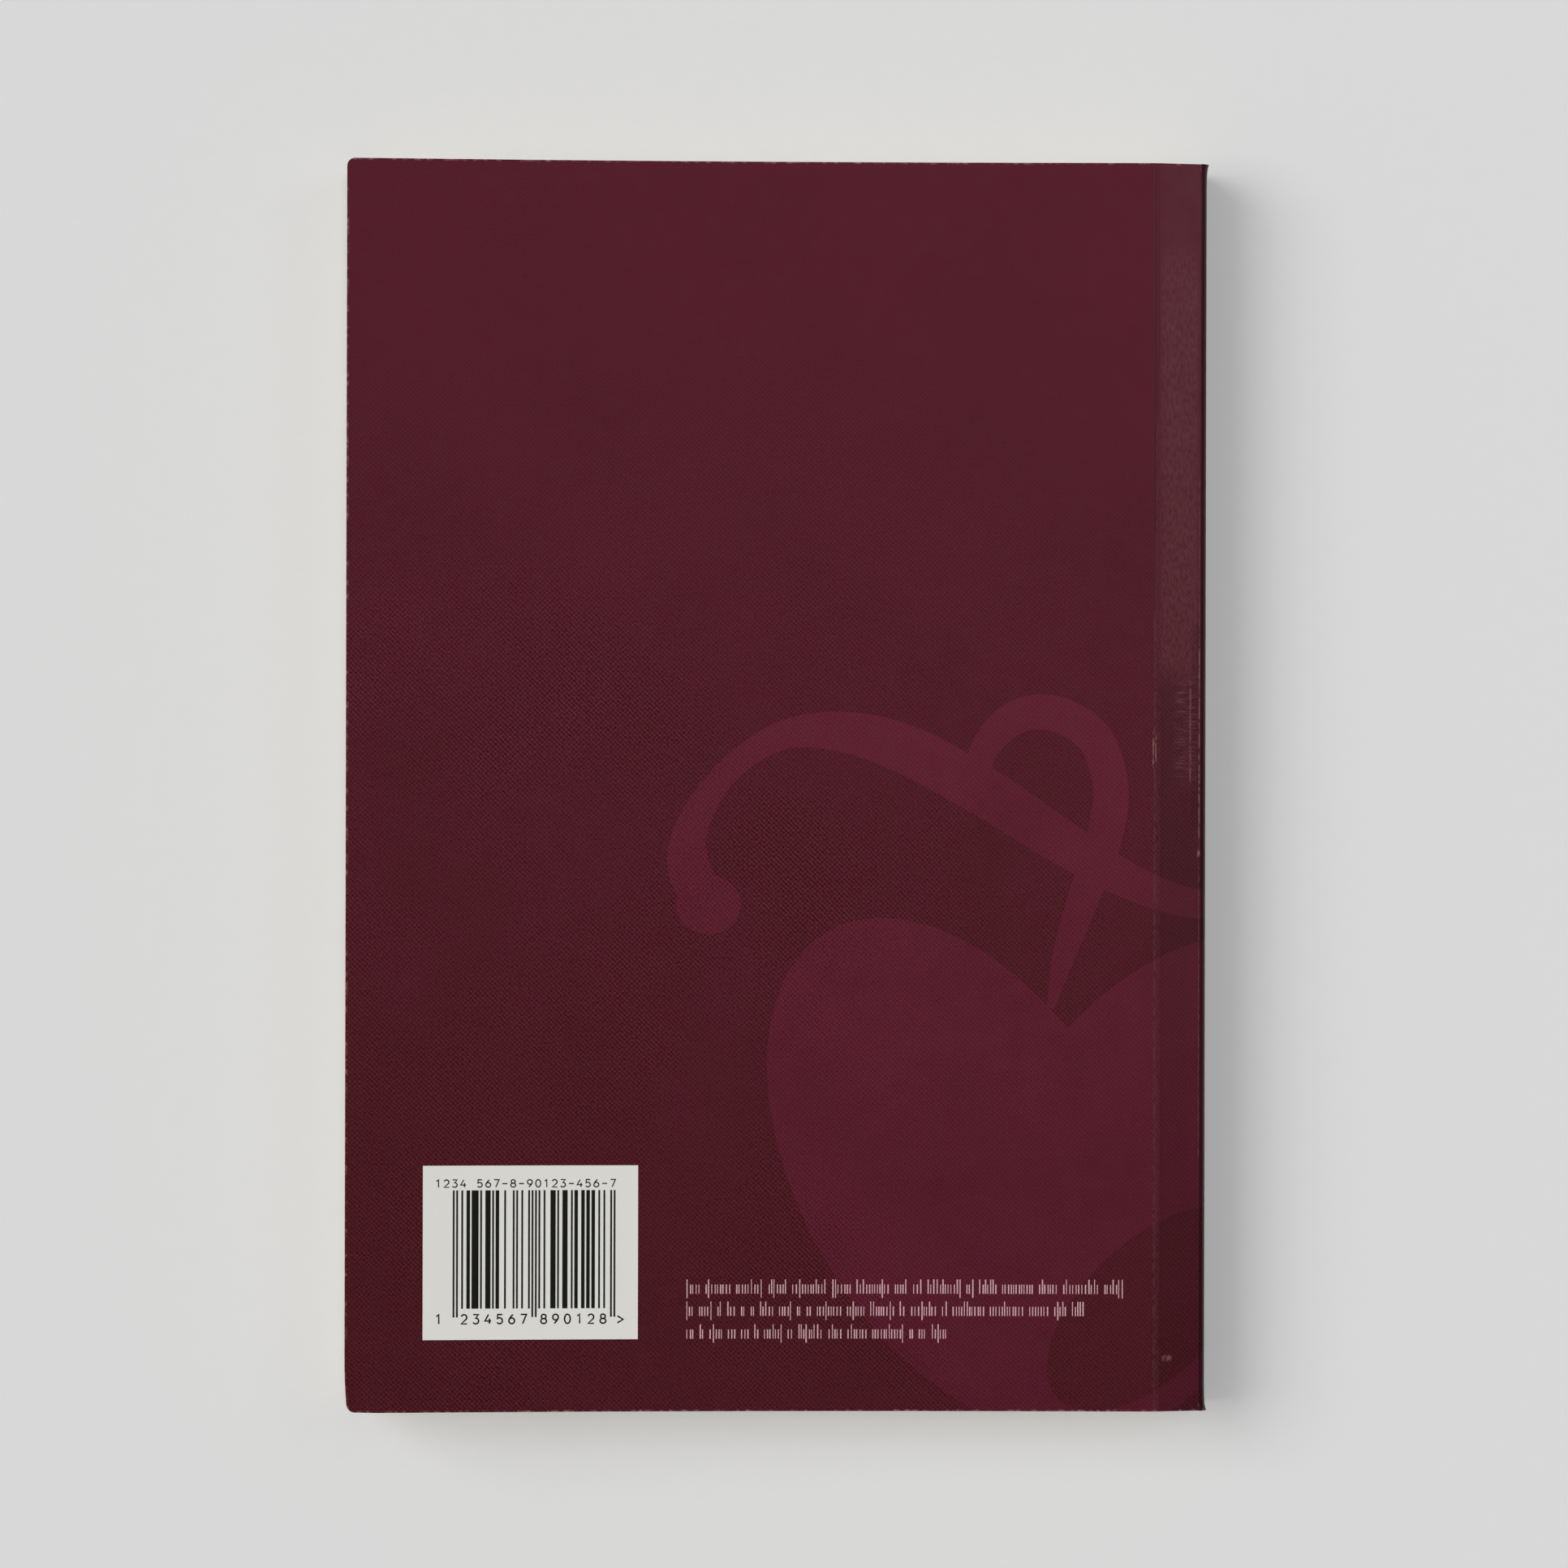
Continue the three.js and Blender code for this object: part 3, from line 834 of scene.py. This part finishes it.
def add_sections():
    """The outermost halves of sections 1, 4, 5 and 8 ride with their section; the two halves on either side
    of each other gap between sections are joined into one fixed piece.
    """
    outer = {1: (1, 0), 4: (4, 1), 5: (5, 0), SECTIONS: (SECTIONS, 1)}
    for number, (section, half) in outer.items():
        piece = add_half_section(section, half, f"leaves_of_section_{number}")
        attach(piece, f"section_{number}")
        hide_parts(f"section_{number}")
    for number in range(1, SECTIONS):
        if number == 4:
            continue
        pieces = [add_half_section(number, 1, "lower"), add_half_section(number + 1, 0, "upper")]
        fan = join(pieces, f"leaves_between_{number}_and_{number + 1}")
        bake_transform(fan)
        hidden = [n for n in (number, number + 1) if n not in outer]
        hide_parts(*[f"section_{n}" for n in hidden])


def add_loose_leaf(node, section, bend, seed, **shape):
    """One leaf in place of a loose leaf of the frame."""
    low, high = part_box(node)
    leaf = leaf_stack(node + "_paper", 1, low.z, low.x, high.x, seed, **shape)
    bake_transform(leaf)
    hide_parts(node)


# ---------------------------------------------------------------- print on the panel and the caption

FILM = 0.012 * MM
BAR_LEFT, BAR_RIGHT = -52.45 * MM, -26.15 * MM
BAR_TOP, BAR_FOOT, GUARD_FOOT = -65.6 * MM, -84.8 * MM, -86.2 * MM
INK_SPREAD = 0.03 * MM
ODD = ["0001101", "0011001", "0010011", "0111101", "0100011",
       "0110001", "0101111", "0111011", "0110111", "0001011"]


def film_shapes(name, ribbons, material):
    """Thin ink shapes on the back cover. A ribbon is a list of pairs of places, right and left of its way."""
    points, faces, flat = [], [], []
    for ribbon in ribbons:
        first, count = len(points), 2 * len(ribbon)
        for depth in (-FILM, 0.2 * FILM):
            flat += [(p.x, p.y, depth) for pair in ribbon for p in pair]
        points += [on_cover(*place) for place in flat[first:]]
        for a in range(first, first + count - 2, 2):
            b, low = a + 2, count
            faces += [(a, b, b + 1, a + 1), (a + low, a + 1 + low, b + 1 + low, b + low),
                      (b, a, a + low, b + low), (a + 1, b + 1, b + 1 + low, a + 1 + low)]
        last = first + count - 2
        faces += [(first, first + 1, first + 1 + count, first + count),
                  (last + 1, last, last + count, last + 1 + count)]
    piece = finish_mesh(name, points, faces, [0] * len(faces), [material], flat)
    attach(piece, "back_cover")


def upright(left, right, low, high):
    """A straight upright mark as a ribbon."""
    return [(Vector((x, low)), Vector((x, high))) for x in (left, right)]


def bar_modules():
    """A plain counting number in the usual bars: two groups of six digits between guards."""
    def swapped(code):
        return "".join("1" if module == "0" else "0" for module in code)

    left, right = "", ""
    for digit, is_plain in zip((2, 3, 4, 5, 6, 7), (1, 1, 0, 1, 0, 0)):
        left += ODD[digit] if is_plain else swapped(ODD[digit])[::-1]
    for digit in (8, 9, 0, 1, 2, 8):
        right += swapped(ODD[digit])
    return "101" + left + "01010" + right + "101"


def add_bars():
    modules = bar_modules()
    step = (BAR_RIGHT - BAR_LEFT) / len(modules)
    ribbons, start = [], None
    for i, module in enumerate(modules + "0"):
        if module == "1" and start is None:
            start = i
        elif module == "0" and start is not None:
            is_guard = i <= 3 or 45 <= start < 50 or start >= 92
            foot = GUARD_FOOT if is_guard else BAR_FOOT
            left = BAR_LEFT + start * step - INK_SPREAD
            ribbons.append(upright(left, BAR_LEFT + i * step, foot, BAR_TOP))
            start = None
    film_shapes("printed_bars", ribbons, BLACK_INK)


# Plain digits as pen strokes in a box one wide and one high.
SIX = [(0.68, 1), (0.36, 0.74)] + oval(0.5, 0.31, 0.42, 0.31, 150, 510, 16)
STROKES = {
    "0": [oval(0.5, 0.5, 0.42, 0.5, 90, 450, 20)],
    "1": [[(0.2, 0.8), (0.55, 1), (0.55, 0)]],
    "2": [oval(0.48, 0.69, 0.4, 0.31, 165, -35) + [(0.08, 0), (0.92, 0)]],
    "3": [[(0.1, 1), (0.86, 1), (0.45, 0.61)] + oval(0.45, 0.31, 0.43, 0.31, 75, -150)],
    "4": [[(0.58, 1), (0.06, 0.3), (0.96, 0.3)], [(0.72, 0.56), (0.72, 0)]],
    "5": [[(0.86, 1), (0.2, 1), (0.15, 0.56)] + oval(0.46, 0.32, 0.42, 0.32, 115, -150)],
    "6": [SIX],
    "7": [[(0.08, 1), (0.92, 1), (0.36, 0)]],
    "8": [oval(0.5, 0.76, 0.34, 0.24, 270, 630, 16), oval(0.5, 0.27, 0.42, 0.27, 90, 450, 16)],
    "9": [[(1 - x, 1 - y) for x, y in SIX]],
    "-": [[(0.08, 0.47), (0.92, 0.47)]],
    ">": [[(0.08, 0.8), (0.92, 0.42), (0.08, 0.04)]],
    " ": [],
}


def pen_ribbon(points, width):
    """A stroke of even width along some points, turning its corners halfway."""
    is_loop = (points[0] - points[-1]).length < 0.01 * width
    ribbon = []
    for i, point in enumerate(points):
        before = points[i - 1] if i else (points[-2] if is_loop else point)
        after = points[i + 1] if i + 1 < len(points) else (points[1] if is_loop else point)
        arriving, leaving = (point - before).normalized(), (after - point).normalized()
        way = (arriving + leaving).normalized()
        lean = max(0.6, way.dot(leaving if leaving.length else arriving))
        side = Vector((-way.y, way.x)) * width / 2 / lean
        ribbon.append((point - side, point + side))
    return ribbon


def add_digits(name, text, left, low, pitch, width, height):
    """A row of digits, evenly spaced, as one ink piece; all sizes are in millimetres."""
    left, low, pitch, width, height = (MM * size for size in (left, low, pitch, width, height))
    ribbons = []
    for place, character in enumerate(text):
        for stroke in STROKES[character]:
            points = [Vector((left + place * pitch + x * width, low + y * height)) for x, y in stroke]
            ribbons.append(pen_ribbon(points, 0.17 * height))
    film_shapes(name, ribbons, BLACK_INK)


CAPTION_LEFT, X_HEIGHT = -14.6 * MM, 1.5 * MM
CAPTION_ROWS = [(-82.5 * MM, 58.8 * MM), (-86.1 * MM, 50.2 * MM), (-89.8 * MM, 27.5 * MM)]


def add_caption():
    """Three rows of small upright ticks where a caption is set; they spell nothing."""
    chance = random.Random(7)
    ribbons = []
    for base, right in CAPTION_ROWS:
        x = CAPTION_LEFT
        while x < right - 2 * MM:
            word = chance.choice((2, 3, 5, 7, 9, 12))
            for _ in range(word):
                if x > right:
                    break
                tall = chance.random()
                top = base + (X_HEIGHT if tall < 0.74 else 1.55 * X_HEIGHT)
                foot = base - (0.45 * X_HEIGHT if tall > 0.94 else 0)
                ribbons.append(upright(x, x + chance.choice((0.13, 0.17, 0.2)) * MM, foot, top))
                x += chance.choice((0.38, 0.46, 0.56)) * MM
            x += 0.75 * MM
    film_shapes("caption_marks", ribbons, PINK_INK)


# ---------------------------------------------------------------- scene


def aim(thing, target):
    thing.rotation_euler = (Vector(target) - thing.location).to_track_quat("-Z", "Y").to_euler()


def add_camera():
    camera = bpy.data.objects.new("camera", bpy.data.cameras.new("camera"))
    bpy.context.scene.collection.objects.link(camera)
    distance, frame_width = 0.85, 255.2 * MM
    camera.location = (1.05 * MM, 0.4 * MM, TOP + distance)
    camera.rotation_euler.z = math.radians(0.135)
    camera.data.sensor_width = 36
    camera.data.lens = 36 * distance / frame_width
    camera.data.clip_start, camera.data.clip_end = 0.01, 100
    bpy.context.scene.camera = camera


def add_light(name, kind, toward, strength, **settings):
    """A light in some direction that points at the book."""
    light = bpy.data.objects.new(name, bpy.data.lights.new(name, kind))
    light.data.energy = strength
    for setting, value in settings.items():
        setattr(light.data, setting, value)
    light.location = toward
    aim(light, (0, 0, 0))
    bpy.context.scene.collection.objects.link(light)
    return light


SKY, HORIZON = 0.28, 0.69


def add_sky():
    """An even surround that lights the scene, hardly shows in the gloss and carries on from the floor."""
    world = bpy.data.worlds.new("studio")
    world.use_nodes = True
    tree = world.node_tree
    rays = add_node(tree, "ShaderNodeLightPath").outputs
    light = ramp(tree, rays["Is Glossy Ray"], 0, 1, SKY, 0.1 * SKY)
    background = tree.nodes["Background"]
    background.inputs["Color"].default_value = (1, 1, 1, 1)
    tree.links.new(ramp(tree, rays["Is Camera Ray"], 0, 1, light, HORIZON), background.inputs["Strength"])
    bpy.context.scene.world = world


def add_studio():
    add_light("window_light", "SUN", (-0.98, 0.28, 1.0), 1.33, angle=math.radians(44))
    ceiling = add_light("ceiling_light", "SUN", (0.05, 0.03, 1.0), 0.94, angle=math.radians(12))
    ceiling.visible_glossy = False
    add_light("hinge_card", "AREA", (0.66, 0.30, 1.1), 0.9, shape="DISK", size=0.5)
    add_sky()
    bpy.context.scene.view_settings.view_transform = "Standard"
    bpy.context.scene.view_settings.look = "None"


def add_floor():
    mesh = bpy.data.meshes.new("floor")
    size, depth = 20.0, -0.1 * MM
    corners = [(-size, -size, depth), (size, -size, depth), (size, size, depth), (-size, size, depth)]
    mesh.from_pydata(corners, [], [(0, 1, 2, 3)])
    floor = bpy.data.objects.new("floor", mesh)
    bpy.context.scene.collection.objects.link(floor)
    material, tree, shader = new_material("pale_floor")
    place = add_node(tree, "ShaderNodeTexCoord").outputs["Object"]
    tint = blend_colour(tree, grain(tree, place, 300, 2), linear(226, 226, 226), linear(224, 224, 224))
    tree.links.new(tint, shader.inputs["Base Color"])
    shader.inputs["Roughness"].default_value = 0.9
    shader.inputs["Specular IOR Level"].default_value = 0.1
    mesh.materials.append(material)


add_camera()
add_studio()
add_floor()
for side in ("front", "back"):
    add_cover(side)
for number in range(2, SECTIONS + 1):
    add_spine_card(number)
add_sections()
add_loose_leaf("front_flyleaf", "section_1", 20 * MM, 71)
add_loose_leaf("back_flyleaf", "section_8", 20 * MM, 72, Rise=1.8 * MM)
for number in (1, 2, 3):
    add_loose_leaf(f"middle_leaf_{number}", "section_4", 26 * MM, 80 + number)
add_bars()
add_digits("panel_digits_top", "1234 567-8-90123-456-7", -55.3, -65.1, 1.345, 0.95, 1.2)
BOTTOM_DIGITS = {"first": ("1", -55.3), "left": ("234567", -51.15),
                 "right": ("890128", -38.3), "end": (">", -25.9)}
for name, (digits, left) in BOTTOM_DIGITS.items():
    add_digits(f"panel_digits_{name}", digits, left, -87.25, 1.92, 1.1, 1.5)
add_caption()
for name, node in frame["nodes"].items():
    if "glue" in name:
        node.data.materials.clear()
        node.data.materials.append(GLUE)
